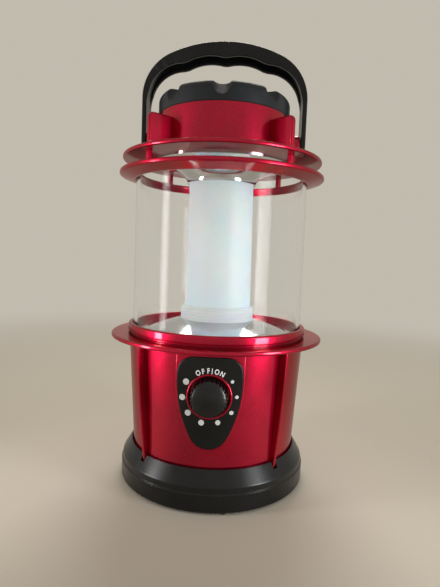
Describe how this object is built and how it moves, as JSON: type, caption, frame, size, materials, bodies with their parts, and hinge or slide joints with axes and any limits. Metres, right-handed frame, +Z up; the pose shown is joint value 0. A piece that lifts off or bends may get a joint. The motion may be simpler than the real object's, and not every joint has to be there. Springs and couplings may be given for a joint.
{
  "type": "camping lantern",
  "caption": "Battery camping lantern: ringed base and top round a clear globe with a frosted light tube, dimmer knob on the front and a swinging carrying handle.",
  "frame": {"origin": "middle of the floor plane under the feet, on the lantern's axis", "axes": "+Z up along the lantern's axis, -Y towards the front with the dimmer knob, +X to the right seen from the front"},
  "size_m": [0.108, 0.108, 0.2192],
  "materials": {
    "black_plastic": "satin moulded black plastic",
    "foot_rubber": "matt black rubber",
    "seal_rubber": "soft black rubber",
    "brass": "plain brass",
    "dark_plastic": "dark grey moulded plastic",
    "spring_steel": "bright drawn steel",
    "zinc_steel": "zinc-plated steel",
    "cell_jacket": "printed plastic jacket over a steel can",
    "red_paint": "metallic red, glossy clear coat",
    "panel_black": "satin black panel with white print",
    "knob_black": "smooth black plastic",
    "board_green": "green solder resist on glass epoxy",
    "coil_copper": "enamelled copper winding",
    "lead_red": "red wire insulation",
    "lead_black": "black wire insulation",
    "aluminium": "machined aluminium",
    "board_white": "white solder resist on an aluminium core",
    "led_yellow": "yellow phosphor under a clear dome",
    "mirror_coat": "vacuum-metallised plastic",
    "frosted_plastic": "frosted bluish-white plastic",
    "clear_globe": "clear polycarbonate",
    "handle_black": "satin moulded black plastic"
  },
  "bodies": {
    "lantern": {"base_shell": "black_plastic", "rubber_feet": "foot_rubber", "contact_disc": "dark_plastic", "contact_springs": "spring_steel", "base_screws": "zinc_steel", "battery_cage": "dark_plastic", "cage_screws": "zinc_steel", "battery_right": "cell_jacket", "battery_rear": "cell_jacket", "battery_left": "cell_jacket", "contact_plates": "brass", "return_strip": "brass", "lower_housing": "red_paint", "control_panel": "panel_black", "dimmer_body": "zinc_steel", "dimmer_washer": "zinc_steel", "dimmer_nut": "zinc_steel", "driver_board": "board_green", "driver_capacitor": "dark_plastic", "driver_coil": "coil_copper", "driver_chip": "dark_plastic", "led_leads": "lead_red", "battery_leads": "lead_black", "heat_sink": "aluminium", "led_board": "board_white", "led_chips": "led_yellow", "led_screws": "zinc_steel", "lower_reflector": "mirror_coat", "tube_ring": "frosted_plastic", "mantle_tube": "frosted_plastic", "globe_gasket": "seal_rubber", "globe_collar": "red_paint", "globe": "clear_globe", "upper_reflector": "mirror_coat", "globe_ring": "red_paint", "top_housing": "red_paint", "top_cap": "black_plastic", "cap_screws": "zinc_steel", "handle_pins": "zinc_steel"},
    "handle": {"handle": "handle_black"},
    "knob": {"dimmer_knob": "knob_black", "dimmer_shaft": "spring_steel"},
    "door": {"battery_door": "black_plastic", "door_seal": "seal_rubber", "door_rivet": "brass"}
  },
  "joints": [
    {"name": "handle_swing", "type": "hinge", "parent": "lantern", "child": "handle", "pos_m": [0, 0, 0.1696], "axis": [1, 0, 0], "range_deg": [-90, 90]},
    {"name": "dimmer_turn", "type": "hinge", "parent": "lantern", "child": "knob", "pos_m": [0, -0.045, 0.0531], "axis": [0, 1, 0], "range_deg": [0, 300]},
    {"name": "door_twist", "type": "hinge", "parent": "lantern", "child": "door", "pos_m": [0, 0, 0.003], "axis": [0, 0, 1], "range_deg": [0, 40]}
  ]
}
